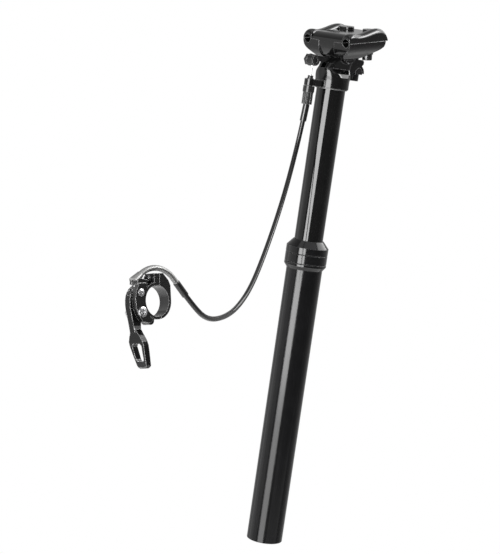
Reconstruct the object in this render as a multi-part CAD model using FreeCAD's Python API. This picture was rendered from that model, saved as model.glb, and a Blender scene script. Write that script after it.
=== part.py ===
"""Dropper seatpost with a cable remote, in millimetres.

The post's axis is Z, its origin lies on that axis at the lower end of the outer tube, +X is the
bicycle's forward direction and +Y its left side. The post is at full height, the remote hangs on
its cable housing in front of the post and to its left.
"""
import FreeCAD
import Part
import math
import os

os.makedirs("parts", exist_ok=True)

# Clearances
slip = 0.05          # radial gap of a sliding or threaded pair
seat_gap = 0.30      # gap between curved faces of two bodies that don't bear on each other
face_gap = 0.10      # side gap of a part that turns between two cheeks

# Sliding stanchion
stanchion_d = 25.0
stanchion_wall = 1.5
stanchion_bore_d = stanchion_d - 2 * stanchion_wall
travel = 125.0
travel_reserve = 13.2
stanchion_above_end = 17.0
stanchion_low = travel + stanchion_above_end
socket_depth = 10.0
trim_ring_h = 0.9
trim_ring_wall = 1.3
trim_ring_d = stanchion_d + 2 * (slip + trim_ring_wall)

# Outer tube
bushing_wall = 1.5
outer_bore_d = stanchion_d + 2 * (bushing_wall + 2 * slip)
outer_wall = 1.7
outer_d = outer_bore_d + 2 * outer_wall
outer_len = 263.0
thread_step = 0.4
key_count = 3
key_w = 3.0
key_len = 10.0
key_groove_low = 22.0
key_groove_depth = 0.8

# Seal collar
collar_lap = 16.6
collar_low = outer_len - collar_lap
collar_h = 19.4
collar_wall = 2.6
collar_d = outer_d + 2 * collar_wall
collar_cone_h = 5.8
collar_skirt_wall = 0.2
neck_low = collar_low + collar_h + travel + travel_reserve
collar_taper_h = 3.2
collar_mouth_gap = 0.4
groove_w = 0.9
groove_depth = 0.5
groove_heights = (5.4, 13.5)
flange_h = 1.5
bushing_len = 20.0
wiper_h = 3.6
wiper_wall = 1.65
wiper_d = stanchion_d + 2 * (slip + wiper_wall)

# Lower guide bushing on the stanchion
guide_low = 3.0
guide_len = 14.0
guide_groove_depth = 0.6
key_above_guide = 8.0
key_pocket_depth = 0.9

# Hydraulic cartridge inside the stanchion
cap_low = 1.6
cap_h = 10.0
rod_d = 8.0
rod_bolt_head_d = 10.0
rod_bolt_head_h = 4.0
rod_bolt_d = 5.0
cartridge_gap = 1.0
cartridge_d = stanchion_bore_d - 2 * cartridge_gap
cartridge_wall = 1.2
gland_h = 12.0
piston_h = 12.0
piston_above_gland = 9.0
cartridge_below_neck = 44.0
cartridge_top = neck_low - cartridge_below_neck
valve_body_h = 22.0
guide_tube_d = 5.0
pin_d = 2.6
floating_piston_h = 6.0
floating_piston_above = 4.0
head_plug_h = 10.0
ring_section_d = 1.8

# Forged head
neck_wall = 2.0
neck_d = stanchion_d + 2 * neck_wall
neck_h = 7.0
# Heights above the neck's low end, then how far the rear, the front and the sides stand past the neck, and
# how much smaller than the neck's radius the corner radius is
head_rings = (
    (0.0, 0.0, 0.0, 0.0, 0.6), (neck_h, 0.0, 0.0, 0.0, 0.6), (10.0, 0.2, 0.3, -0.6, 2.0),
    (13.0, 0.4, 0.5, -2.2, 4.5), (15.0, 0.5, 0.4, -4.4, 7.0), (17.0, 0.5, 0.0, -6.5, 9.0),
    (21.0, 0.5, -2.5, -6.3, 10.0), (26.0, 0.5, -10.0, -5.9, 11.9), (30.0, 0.0, -12.6, -5.9, 12.1),
)
head_round = 1.4
pivot_x = -5.0
pivot_z = neck_low + 32.0
barrel_r = 10.5
barrel_half_w = 8.6
cross_pin_d = 8.0
tilt_bolt_x = -neck_d / 2 - 11.0
lug_end_wall = 4.8
lug_reach = lug_end_wall - tilt_bolt_x
lug_half_w = 6.2
lug_top = neck_low + 27.0
lug_h = 5.0
lug_root_z = neck_low + neck_h

# Saddle clamps, in a frame on the pivot that is turned to the rails' angle
clamp_tilt = 8.7
rail_d = 7.0
rail_spacing = 44.0
rail_above_pivot = 10.0
clamp_front = 18.6
clamp_rear = 27.5
bridge_rear = 29.0
bridge_above_rail = 6.4
bridge_half_w = 12.0
jaw_half_w = 4.8
jaw_outer_w = 4.8
cap_heights = ((18.6, 3.2), (17.6, 5.8), (15.0, 7.4), (8.0, 7.0), (0.0, 7.2), (-8.0, 8.8), (-15.0, 10.2),
               (-21.0, 10.4), (-25.5, 9.0), (-28.4, 6.0), (-29.8, 2.6))
cap_facets = 12
cap_rounding = 0.62
apron = ((13.2, -2.4), (15.6, 0.5), (17.4, 4.0), (18.2, 8.0), (17.6, 11.8), (15.2, 14.6), (11.0, 16.4))
apron_low_half_w = 9.4
cradle_section = ((10.6, -6.5), (14.6, -4.8), (19.0, -1.0), (23.0, 1.8), (26.0, 5.2), (26.8, 8.0))
cradle_profile = ((18.4, 5.5), (17.6, 1.0), (14.5, -3.0), (9.0, -5.6), (4.0, -6.5), (-5.0, -6.5),
                  (-12.0, -4.0), (-22.0, 1.0), (-26.4, 5.0))
clamp_bolt_rise = 2.4
clamp_boss_low = -7.6
cap_gap = 0.2
cheek_gap = 0.1
cheek_r = 9.0
bridge_block_front = -14.0
nut_block_half_w = 7.0
nut_wall = 2.2
clamp_bolt_u = -21.5
clamp_bolt_y = 11.6
clamp_bolt_d = 5.0
clamp_bolt_head_d = 8.5
clamp_bolt_head_h = 5.0
clamp_boss_d = 10.0

# Tilt bolt and its barrel nut
tilt_bolt_d = 6.0
tilt_bolt_head_d = 10.0
tilt_bolt_head_h = 6.0
tilt_bolt_socket = 5.0
tilt_seat_r = 4.6
tilt_seat_flat = 1.0
lug_seat_wall = 2.2
tilt_nut_d = 9.0
tilt_nut_len = 12.0
tilt_nut_z = pivot_z + 5.5
tilt_nut_room = 0.30
tilt_bolt_room = 1.5
tilt_bolt_reach = 4.2
tilt_lug_room = 0.6

# Actuator arm, cable anchor and barrel adjuster at the front
arm_pivot_x = -8.0
arm_pivot_z = neck_low + 23.5
arm_w = 5.0
arm_h = 4.6
arm_pin_d = 3.0
arm_eye_r = 3.0
slot_below_arm = 7.0
cable_x = neck_d / 2 + 13.4
anchor_z = arm_pivot_z - 1.8
anchor_d = 9.6
anchor_bolt_d = 3.2
anchor_head_d = 9.0
anchor_head_h = 1.6
anchor_nut_h = 2.4
anchor_socket = 4.0
anchor_washer_d = 10.2
anchor_washer_h = 0.9
wire_slot_half = 2.7
wire_low = neck_low - 15.4
wire_d = 1.4
wire_room = 0.5
stop_low = neck_low + 0.2
stop_h = 5.6
stop_d = 9.2
stop_w = 8.0
adjuster_thread_d = 6.0
adjuster_nub_d = 4.6
adjuster_nub_h = 2.2
adjuster_top = stop_low + stop_h + 0.6
adjuster_nub_top = adjuster_top + adjuster_nub_h
adjuster_ring_d = 9.8
adjuster_ring_h = 5.2
adjuster_grip_d = 8.8
adjuster_grip_low = neck_low - 15.6
adjuster_flutes = 10
housing_d = 4.0
ferrule_wall = 0.75
ferrule_d = housing_d + 2 * (slip + ferrule_wall)
ferrule_len = 14.3
ferrule_nose_d = 4.6
ferrule_nose_h = 3.0
ferrule_gap = 0.3
ferrule_bore_d = 3.4
housing_in_ferrule = 8.0
ferrule_lean = 5.5

# Cable housing, its corners from the axis of the barrel adjuster and from the neck's lower end
housing_route = (
    (10.6, 4.5, -63.5), (21.9, 11.0, -88.0), (38.1, 20.3, -113.5), (60.6, 33.5, -140.5),
    (86.1, 48.5, -163.5), (115.1, 64.3, -176.0), (145.1, 80.5, -178.7), (173.6, 93.8, -176.2),
)
housing_first_run = 16.0
housing_last_run = 15.0
housing_in_noodle = 6.0

# Remote, in a frame on the handlebar clamp's centre: +X forward, +Y along the bar, +Z up
remote_forward = 235.9
remote_side = 98.2
remote_drop = 159.8
remote_at = (cable_x + remote_forward, remote_side, neck_low - remote_drop)
remote_roll = 15.4
bar_d = 22.2
bar_clamp_w = 10.0
strap_wall = 2.1
ring_r = bar_d / 2 + strap_wall
split_gap = 1.2
split_x = -2.4
ear_z = ring_r + 2.8
ear_h = 7.6
ear_front = 2.0
strap_lug_rear = 8.0
strap_lug_bevel = 1.5
strap_shoulder_w = 1.8
strap_shoulder_h = 5.0
bar_bolt_d = 4.0
bar_bolt_head_d = 6.0
bar_bolt_head_h = 3.4
bar_bolt_socket = 3.0
hinge_x = 4.6
hinge_z = -ring_r - 0.4
hinge_pin_d = 2.5
hinge_knuckle_d = 6.4
hinge_knuckle_w = 4.0
plate_t = 4.0
plate_rear = ring_r - 4.0
plate_top = 13.0
seat_low = ring_r - 1.0
wire_gap_top = seat_low + 3.0
lever_pivot_x = ring_r + 2.0
lever_pivot_z = -7.5
lever_t = 5.2
lever_bolt_d = 4.0
lever_bolt_head_d = 7.6
lever_bolt_head_h = 1.8
lever_bolt_socket = 3.0
lever_bush_d = 5.6
lever_boss_r = 4.1
screw_x = ring_r + 2.2
screw_z = 6.2
screw_head_d = 5.6
screw_head_h = 1.2
screw_d = 3.0
screw_socket = 2.0
paddle_w = 14.8
paddle_end_w = 11.6
paddle_y = 1.2
paddle_slot_w = 9.6
nipple_x = ring_r + 5.4
nipple_z = 5.6
nipple_d = 4.5
noodle_d = 4.2
noodle_bore_d = 2.4
noodle_bend_r = 24.0
noodle_start_x = ring_r - 3.7
noodle_start_z = ring_r + 6.1
noodle_rise = 36.0
noodle_fall = 48.0
noodle_tail = 7.0
seat_len = 8.4
seat_d = 7.2
seat_top_d = 5.2
noodle_ferrule_d = 5.2
noodle_ferrule_len = 12.5
noodle_lap = 3.0

# The remote's outlines from the side. The first number is the distance in front of the clamp's ring,
# the second the height above the bar's centre, or for the seat above its low face.
plate_outline = ((3.2, 13.0), (6.4, 7.0), (7.3, 2.0), (6.8, -5.0), (4.4, -10.5), (1.3, -14.5), (-5.2, -15.5))
plate_hinge_z = -14.0
seat_outline = ((-5.2, 0.0), (4.0, 0.0), (3.8, 2.8), (0.8, 4.3), (-5.2, 2.8))
blade_outline = ((-0.8, 6.0), (0.2, 9.6), (2.8, 11.0), (5.8, 8.8), (8.2, 5.0), (9.1, 1.5), (9.2, -3.0),
                 (8.6, -7.0), (7.2, -14.0), (5.6, -23.4), (5.8, -28.0), (1.8, -29.0), (0.4, -24.0),
                 (0.1, -20.0), (-0.6, -14.0), (-1.6, -10.0), (-0.6, -5.0), (0.4, 0.0))
paddle_profile = ((6.4, -17.0), (5.8, -21.6), (6.1, -25.0), (5.8, -29.0), (3.4, -38.0), (0.7, -46.6),
                  (-0.6, -47.6), (-2.6, -47.4), (-3.6, -46.2), (-1.0, -36.0), (1.1, -28.6), (1.2, -25.0),
                  (0.4, -21.6), (-0.2, -17.0))

# The paddle's outline and its slot from the front. The first number is the distance inside the
# paddle's side, its end's side or the slot's side, the second the height.
paddle_left_end = ((3.2, -48.0), (1.2, -45.5))
paddle_left = ((0.0, -31.0), (0.3, -28.2), (2.0, -25.4), (5.4, -22.0))
paddle_neck = ((0.4, -19.6), (0.0, -17.0))
paddle_neck_far = ((0.0, -17.0), (0.0, -22.0))
paddle_right = ((0.8, -25.4), (0.0, -28.2), (0.0, -31.0))
paddle_right_end = ((0.6, -45.5), (2.2, -48.0))
slot_left = ((2.0, -42.2), (1.2, -40.8), (0.0, -31.6), (1.4, -30.0))
slot_right = ((1.4, -30.0), (0.0, -31.6), (0.6, -40.8), (1.4, -42.2))


def vec(x, y, z):
    return FreeCAD.Vector(x, y, z)


def rod(d, z0, z1, x=0.0, y=0.0):
    """A cylinder along Z."""
    return Part.makeCylinder(d / 2, z1 - z0, vec(x, y, z0))


def tube(d_out, d_in, z0, z1, x=0.0, y=0.0):
    """A ring or tube along Z."""
    return rod(d_out, z0, z1, x, y).cut(rod(d_in, z0 - 1, z1 + 1, x, y))


def cross_rod(d, y0, y1, x, z):
    """A cylinder along Y."""
    return Part.makeCylinder(d / 2, y1 - y0, vec(x, y0, z), vec(0, 1, 0))


def block(x0, x1, y0, y1, z0, z1):
    return Part.makeBox(x1 - x0, y1 - y0, z1 - z0, vec(x0, y0, z0))


def side_plate(points, y0, y1):
    """A plate whose outline is given in X and Z, from y0 to y1."""
    corners = [vec(x, y0, z) for x, z in points]
    face = Part.Face(Part.makePolygon(corners + corners[:1]))
    return face.extrude(vec(0, y1 - y0, 0))


def front_plate(points, x0, x1):
    """A plate whose outline is given in Y and Z, from x0 to x1."""
    corners = [vec(x0, y, z) for y, z in points]
    face = Part.Face(Part.makePolygon(corners + corners[:1]))
    return face.extrude(vec(x1 - x0, 0, 0))


def top_plate(points, z0, z1):
    """A plate whose outline is given in X and Y, from z0 to z1."""
    corners = [vec(x, y, z0) for x, y in points]
    face = Part.Face(Part.makePolygon(corners + corners[:1]))
    return face.extrude(vec(0, 0, z1 - z0))


def curved_face(curve, corners):
    """A face bounded by a smooth curve through some points and by straight lines through the others."""
    spline = Part.BSplineCurve()
    spline.interpolate(curve)
    edges = [spline.toShape()]
    for start, end in zip([curve[-1]] + corners, corners + [curve[0]]):
        edges.append(Part.LineSegment(start, end).toShape())
    return Part.Face(Part.Wire(edges))


def rounded_ring(x0, x1, half, r, z):
    """A rounded rectangle that lies flat, symmetric about the XZ plane."""
    k = r * (1 - math.sqrt(0.5))
    corners = [(x1, half, -1, 0, 0, -1), (x0, half, 0, -1, 1, 0), (x0, -half, 1, 0, 0, 1),
               (x1, -half, 0, 1, -1, 0)]
    edges = []
    ends = []
    for x, y, ax, ay, bx, by in corners:
        first = vec(x + bx * r, y + by * r, z)
        last = vec(x + ax * r, y + ay * r, z)
        middle = vec(x + (ax + bx) * k, y + (ay + by) * k, z)
        ends.append((first, middle, last))
    for n, (first, middle, last) in enumerate(ends):
        edges.append(Part.Arc(first, middle, last).toShape())
        edges.append(Part.LineSegment(last, ends[(n + 1) % 4][0]).toShape())
    return Part.Wire(edges)


def turned(points, x=0.0, y=0.0):
    """A solid of revolution about a vertical axis, from its radius and height pairs."""
    corners = [vec(x + r, y, z) for r, z in points]
    face = Part.Face(Part.makePolygon(corners + corners[:1]))
    return face.revolve(vec(x, y, 0), vec(0, 0, 1), 360)


def fuse(*shapes):
    whole = shapes[0]
    for shape in shapes[1:]:
        whole = whole.fuse(shape)
    return whole.removeSplitter()


def around(shape, count, centre=(0.0, 0.0)):
    """Copies of a shape, spread evenly about a vertical axis."""
    copies = []
    for n in range(count):
        copy = shape.copy()
        copy.rotate(vec(centre[0], centre[1], 0), vec(0, 0, 1), 360.0 * n / count)
        copies.append(copy)
    return copies


def hexagon(across, z0, z1, x=0.0, y=0.0):
    """A hexagonal prism along Z, from its width across the flats."""
    radius = across / math.sqrt(3)
    points = [(x + radius * math.cos(math.radians(60 * n)), y + radius * math.sin(math.radians(60 * n)))
              for n in range(6)]
    return top_plate(points, z0, z1)


def along_y(shape, x, y, z):
    """Turns a shape made up the Z axis so that it points along +Y, and moves it to a place."""
    turned_shape = shape.copy()
    turned_shape.rotate(vec(0, 0, 0), vec(1, 0, 0), -90)
    turned_shape.translate(vec(x, y, z))
    return turned_shape


def bolt(d, length, head_d, head_h, socket):
    """A socket screw up the Z axis, with the underside of its head at z = 0 and its shank above."""
    chamfer = 0.1 * head_h
    head_r = head_d / 2
    head = turned([(0, 0), (head_r, 0), (head_r, chamfer - head_h), (head_r - chamfer, -head_h),
                   (0, -head_h)])
    shank = turned([(0, 0), (d / 2, 0), (d / 2, length - chamfer), (d / 2 - chamfer, length), (0, length)])
    recess = hexagon(socket, -head_h - 1, -0.45 * head_h)
    return fuse(head, shank).cut(recess)


def save(name, *solids):
    shape = solids[0] if len(solids) == 1 else Part.Compound(list(solids))
    if not shape.isValid():
        print("not valid:", name)
    shape.exportStep("parts/" + name + ".step")
    print(name, len(shape.Solids), round(shape.Volume, 1))


# The outer tube and what is fixed in it
outer_r = outer_d / 2
bore_r = outer_bore_d / 2
thread_r = outer_r - thread_step
flange_top = outer_len + flange_h
guide_z = stanchion_low + guide_low
key_z = guide_z + guide_len + key_above_guide
key_out_r = bore_r + key_groove_depth - face_gap


def make_outer_tube():
    """Aluminium tube with a keyway for each anti-rotation key."""
    shell = tube(outer_d, outer_bore_d, 0, collar_low - slip)
    shell = fuse(shell, tube(2 * thread_r, outer_bore_d, 0, outer_len))
    keyway_top = key_z + key_len + key_above_guide
    half = key_w / 2 + slip
    keyway = block(bore_r - 1, bore_r + key_groove_depth, -half, half, key_groove_low, keyway_top)
    for cut in around(keyway, key_count):
        shell = shell.cut(cut)
    return shell


def make_seal_collar():
    """Screwed collar: a skirt, two fine grooves and a cone that closes on the stanchion."""
    r = collar_d / 2
    top = collar_low + collar_h
    mouth_r = stanchion_d / 2 + collar_mouth_gap
    seat_r = wiper_d / 2 + slip
    inner_r = thread_r + slip
    lip_z = flange_top + wiper_h
    profile = [(inner_r, collar_low), (outer_r + slip + collar_skirt_wall, collar_low),
               (r, collar_low + collar_taper_h)]
    for height in groove_heights:
        z = collar_low + height
        profile += [(r, z - groove_w / 2), (r - groove_depth, z), (r, z + groove_w / 2)]
    profile += [(r, top), (mouth_r + groove_depth, top + collar_cone_h), (mouth_r, top + collar_cone_h)]
    profile += [(mouth_r, lip_z), (seat_r, lip_z), (seat_r, flange_top), (inner_r, flange_top)]
    return turned(profile)


def make_upper_bushing():
    """Guide bushing in the top of the outer tube, held down by the collar."""
    inner_d = stanchion_d + 2 * slip
    sleeve = tube(outer_bore_d - 2 * slip, inner_d, outer_len - bushing_len, outer_len)
    return fuse(sleeve, tube(2 * (thread_r - slip), inner_d, outer_len, flange_top))


def make_wiper_seal():
    return tube(wiper_d, stanchion_d + 2 * slip, flange_top, flange_top + wiper_h)


def make_bottom_cap():
    """Cap in the tube's lower end, which carries the piston rod."""
    d = outer_bore_d - 2 * slip
    cap = turned([(0, cap_low), (d / 2, cap_low), (d / 2, cap_low + cap_h), (0, cap_low + cap_h)])
    cap = cap.cut(rod(rod_bolt_d + 2 * slip, 0, cap_low + cap_h + 1))
    return cap.cut(rod(rod_bolt_head_d + 4 * slip, 0, cap_low + rod_bolt_head_h))


def make_rod_bolt():
    screw = bolt(rod_bolt_d, 2 * cap_h, rod_bolt_head_d, rod_bolt_head_h, rod_bolt_d)
    screw.translate(vec(0, 0, cap_low + rod_bolt_head_h))
    return screw


gland_top = stanchion_low + gland_h
spigot_h = gland_h / 2
piston_z = gland_top + piston_above_gland
cartridge_bore_d = cartridge_d - 2 * cartridge_wall


def make_piston_rod():
    low = cap_low + cap_h
    shaft = rod(rod_d, low, piston_z + piston_h)
    return shaft.cut(rod(rod_bolt_d + 2 * slip, low - 1, cap_low + rod_bolt_head_h + 2 * cap_h + 1))


def make_piston():
    """Piston head on the rod, with a groove for its ring."""
    body = tube(cartridge_bore_d - 2 * slip, rod_d + 2 * slip, piston_z, piston_z + piston_h)
    middle = piston_z + piston_h / 2
    groove_d = cartridge_bore_d - 2 * ring_section_d
    return body.cut(tube(cartridge_d, groove_d, middle - ring_section_d / 2, middle + ring_section_d / 2))


def make_piston_ring():
    middle = piston_z + piston_h / 2
    half = ring_section_d / 2 - slip
    return tube(cartridge_bore_d - 2 * slip, cartridge_bore_d - 2 * ring_section_d + 2 * slip,
                middle - half, middle + half)


# The stanchion and the cartridge inside it
stanchion_top = neck_low + socket_depth
plug_low = stanchion_top - head_plug_h
valve_top = cartridge_top + valve_body_h - spigot_h
pin_top = arm_pivot_z - arm_h / 2 - seat_gap
poppet_d = 2.4 * pin_d
poppet_h = 1.6 * pin_d


def make_stanchion():
    """Sliding tube with a groove for the guide and a pocket for each key."""
    shell = tube(stanchion_d, stanchion_bore_d, stanchion_low, stanchion_top)
    groove_d = stanchion_d - 2 * guide_groove_depth
    shell = shell.cut(tube(stanchion_d + 2, groove_d, guide_z, guide_z + guide_len))
    pocket_r = stanchion_d / 2 - key_pocket_depth
    half = key_w / 2 + slip
    pocket = block(pocket_r, stanchion_d, -half, half, key_z - slip, key_z + key_len + slip)
    for cut in around(pocket, key_count):
        shell = shell.cut(cut)
    return shell


def make_lower_guide():
    inner_d = stanchion_d - 2 * guide_groove_depth + 2 * slip
    return tube(outer_bore_d - 2 * slip, inner_d, guide_z + slip, guide_z + guide_len - slip)


def make_keys():
    inner_r = stanchion_d / 2 - key_pocket_depth + slip
    key = block(inner_r, key_out_r, -key_w / 2, key_w / 2, key_z, key_z + key_len)
    return around(key, key_count)


def make_rod_gland():
    """Guide and seal carrier that closes the lower end of the cartridge."""
    body = rod(stanchion_bore_d - 2 * slip, stanchion_low, gland_top)
    spigot = rod(cartridge_bore_d - 2 * slip, gland_top, gland_top + spigot_h)
    return fuse(body, spigot).cut(rod(rod_d + 2 * slip, stanchion_low - 1, gland_top + spigot_h + 1))


def make_cartridge_tube():
    return tube(cartridge_d, cartridge_bore_d, gland_top, cartridge_top)


def make_valve_body():
    """Plug in the top of the cartridge, with the guide tube that the push pin runs in."""
    spigot = rod(cartridge_bore_d - 2 * slip, cartridge_top - spigot_h, cartridge_top)
    flange = rod(stanchion_bore_d - 2 * slip, cartridge_top, valve_top)
    guide = rod(guide_tube_d, valve_top, plug_low)
    body = fuse(spigot, flange, guide)
    return body.cut(rod(pin_d + 4 * slip, cartridge_top - spigot_h - 1, plug_low + 1))


def make_valve_pin():
    """Push pin with the valve's poppet at its lower end."""
    seat_z = cartridge_top - spigot_h - slip
    poppet = rod(poppet_d, seat_z - poppet_h, seat_z)
    return fuse(poppet, rod(pin_d, seat_z, pin_top))


def make_floating_piston():
    """Ring piston between the oil below it and the air above it."""
    low = valve_top + floating_piston_above
    return tube(stanchion_bore_d - 2 * slip, guide_tube_d + 2 * slip, low, low + floating_piston_h)


def make_head_plug():
    plug = rod(stanchion_bore_d - 2 * slip, plug_low, stanchion_top)
    return plug.cut(rod(pin_d + 4 * slip, plug_low - 1, stanchion_top + 1))


def make_trim_ring():
    return tube(trim_ring_d, stanchion_d + 2 * slip, neck_low - trim_ring_h, neck_low)


# The forged head
neck_top = neck_low + neck_h
neck_r = neck_d / 2
tilt_seat_z = neck_low + 15.3
slot_half_w = arm_w / 2 + face_gap
slot_low = arm_pivot_z - slot_below_arm
slot_top = arm_pivot_z + arm_eye_r + seat_gap
adjuster_ring_top = stop_low - seat_gap


def make_head_forging():
    """Round neck that narrows to a web under the transverse barrel, with the rear lug and the cable stop."""
    rings = [rounded_ring(-neck_r - rear, neck_r + front, neck_r + side, neck_r - less, neck_low + z)
             for z, rear, front, side, less in head_rings]
    web = Part.makeLoft(rings, True, True)
    barrel = cross_rod(2 * barrel_r, -barrel_half_w, barrel_half_w, pivot_x, pivot_z)
    r = head_round
    lug = side_plate([(-lug_reach + r, lug_top), (-lug_reach, lug_top - r), (-lug_reach, lug_top - lug_h + r),
                      (-lug_reach + r, lug_top - lug_h), (-neck_r, lug_root_z), (0, lug_root_z),
                      (0, lug_top)], -lug_half_w, lug_half_w)
    lug_boss_d = 2 * (tilt_seat_r + lug_seat_wall)
    lug_boss = cross_rod(lug_boss_d, -lug_half_w, lug_half_w, tilt_bolt_x, tilt_seat_z)
    stop = block(0, cable_x, -stop_w / 2, stop_w / 2, stop_low, stop_low + stop_h)
    stop_boss = rod(stop_d, stop_low, stop_low + stop_h, cable_x)
    body = fuse(web, barrel, lug, lug_boss, stop, stop_boss)
    body = body.cut(block(tilt_bolt_x - neck_d, tilt_bolt_x + tilt_seat_r + lug_seat_wall, -neck_r, neck_r,
                          neck_low - 1, tilt_seat_z))
    return drilled_head(body)


def drilled_head(body):
    """The forging with its sockets, slots and holes."""
    body = body.cut(rod(stanchion_d + 2 * slip, neck_low - 1, stanchion_top))
    body = body.cut(rod(pin_d + 4 * slip, stanchion_top - 1, slot_low + 1))
    slot_rear = arm_pivot_x - arm_eye_r - seat_gap
    body = body.cut(block(slot_rear, neck_d, -slot_half_w, slot_half_w, slot_low, slot_top))
    body = body.cut(cross_rod(arm_pin_d + 2 * slip, -neck_r, neck_r, arm_pivot_x, arm_pivot_z))
    body = body.cut(cross_rod(cross_pin_d + 2 * slip, -neck_r, neck_r, pivot_x, pivot_z))
    body = body.cut(rod(tilt_bolt_d + 2 * tilt_lug_room, neck_top, lug_top + 1, tilt_bolt_x))
    body = body.cut(cross_rod(2 * (tilt_seat_r + slip), -neck_r, neck_r, tilt_bolt_x, tilt_seat_z))
    return body.cut(rod(adjuster_thread_d + 2 * slip, stop_low - 1, stop_low + stop_h + 1, cable_x))


def make_cross_pin():
    return cross_rod(cross_pin_d, -bridge_half_w, bridge_half_w, pivot_x, pivot_z)


# The saddle clamps
rail_w = rail_above_pivot
bridge_top = rail_w + bridge_above_rail
rail_y = rail_spacing / 2
jaw_in = rail_y - jaw_half_w
jaw_out = rail_y + jaw_outer_w
half_gap = cap_gap / 2
clamp_bolt_top = bridge_top + clamp_bolt_rise


def on_pivot(shape):
    """Moves a shape from the clamps' frame to its place on the head."""
    placed = shape.copy()
    placed.rotate(vec(0, 0, 0), vec(0, 1, 0), clamp_tilt)
    placed.translate(vec(pivot_x, 0, pivot_z))
    return placed


def nut_place():
    """The barrel nut's centre in the clamps' frame."""
    x = tilt_bolt_x - pivot_x
    z = tilt_nut_z - pivot_z
    turn = math.radians(clamp_tilt)
    return x * math.cos(turn) - z * math.sin(turn), x * math.sin(turn) + z * math.cos(turn)


def rail(side):
    return Part.makeCylinder(rail_d / 2 + slip, 4 * clamp_rear, vec(-2 * clamp_rear, side * rail_y, rail_w),
                             vec(1, 0, 0))


def make_bridge():
    """Smooth hood over the barrel that joins the two cradles, narrower at its lower front edge."""
    corners = [(-bridge_rear, bridge_top), (-bridge_rear, bridge_top / 2), (0, bridge_top / 2),
               (barrel_r, apron[0][1])]
    hood = curved_face([vec(u, -jaw_in, w) for u, w in apron], [vec(u, -jaw_in, w) for u, w in corners])
    hood = hood.extrude(vec(0, 2 * jaw_in, 0))
    low = apron[0][1] - 1
    taper = front_plate([(-apron_low_half_w, low), (apron_low_half_w, low), (bridge_half_w, rail_w / 4),
                         (jaw_in, rail_w * 3 / 4), (jaw_in, 2 * bridge_top), (-jaw_in, 2 * bridge_top),
                         (-jaw_in, rail_w * 3 / 4), (-bridge_half_w, rail_w / 4)],
                        -2 * bridge_rear, 2 * bridge_rear)
    return hood.common(taper)


def make_cradle(side):
    """Lower jaw of one rail on an arm that runs down to a cheek on the cross pin."""
    cheek_in = barrel_half_w + cheek_gap
    near, far = sorted((side * cheek_in, side * bridge_half_w))
    cheek = cross_rod(2 * cheek_r, near, far, 0, 0)
    top = rail_w - half_gap
    low = cradle_section[0][1]
    reach = 2 * clamp_rear
    curve = [vec(-reach, side * y, w) for y, w in cradle_section]
    corners = [vec(-reach, side * y, w) for y, w in ((jaw_out, top), (cheek_in, top), (cheek_in, low))]
    arm = curved_face(curve, corners).extrude(vec(2 * reach, 0, 0))
    curve = [vec(u, -reach, w) for u, w in cradle_profile]
    profile = curved_face(curve, [vec(-clamp_rear, -reach, top), vec(clamp_front, -reach, top)])
    arm = arm.common(profile.extrude(vec(0, 2 * reach, 0)))
    boss_low = clamp_boss_low + clamp_bolt_head_h
    boss = rod(clamp_boss_d, boss_low, bridge_top, clamp_bolt_u, side * clamp_bolt_y)
    return fuse(cheek, arm, boss)


def make_lower_clamp():
    """Cradles for both rails, a hood over the barrel and a block for the tilt bolt's nut, in one piece."""
    cheek_in = barrel_half_w + cheek_gap
    nut_u, nut_w = nut_place()
    nut_r = tilt_nut_d / 2 + nut_wall
    nut_block = block(nut_u - nut_r, bridge_block_front, -nut_block_half_w, nut_block_half_w, nut_w,
                      bridge_top - head_round)
    body = fuse(make_bridge(), make_cradle(1), make_cradle(-1), nut_block,
                cross_rod(2 * nut_r, -nut_block_half_w, nut_block_half_w, nut_u, nut_w))
    body = body.cut(cross_rod(2 * (barrel_r + seat_gap), -cheek_in, cheek_in, 0, 0))
    for side in (-1, 1):
        cap_in, cap_out = sorted((side * (jaw_in - cheek_gap), side * 2 * jaw_out))
        body = body.cut(block(-3 * clamp_rear, 3 * clamp_rear, cap_in, cap_out, rail_w - half_gap,
                              2 * bridge_top))
        body = body.cut(rail(side))
        body = body.cut(rod(clamp_bolt_d + 4 * slip, clamp_boss_low, bridge_top + 1, clamp_bolt_u,
                            side * clamp_bolt_y))
    body = body.cut(cross_rod(cross_pin_d + 2 * slip, -bridge_half_w - 1, bridge_half_w + 1, 0, 0))
    body = body.cut(cross_rod(tilt_nut_d + 2 * tilt_nut_room, -nut_block_half_w - 1, nut_block_half_w + 1,
                              nut_u, nut_w))
    room = tilt_bolt_d / 2 + tilt_bolt_room
    body = body.cut(block(nut_u - room, nut_u + room, -room, room, nut_w - 2 * nut_r,
                          nut_w + tilt_nut_d / 2 + tilt_bolt_reach))
    return on_pivot(body)


def cap_section(u, height, side):
    """Arched outline of a rail cap at one place along the rail, from its height above the rail."""
    low = rail_w + half_gap
    middle = (jaw_in + jaw_out) / 2
    half = (jaw_out - jaw_in) / 2
    corners = []
    for n in range(cap_facets + 1):
        angle = math.pi * n / cap_facets
        across = math.copysign(abs(math.cos(angle)) ** cap_rounding, math.cos(angle))
        up = math.sin(angle) ** cap_rounding if 0 < n < cap_facets else 0.0
        corners.append(vec(u, side * (middle + half * across), low + (height - half_gap) * up))
    arch = Part.BSplineCurve()
    arch.interpolate(corners)
    return Part.Wire([arch.toShape(), Part.LineSegment(corners[-1], corners[0]).toShape()])


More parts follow.
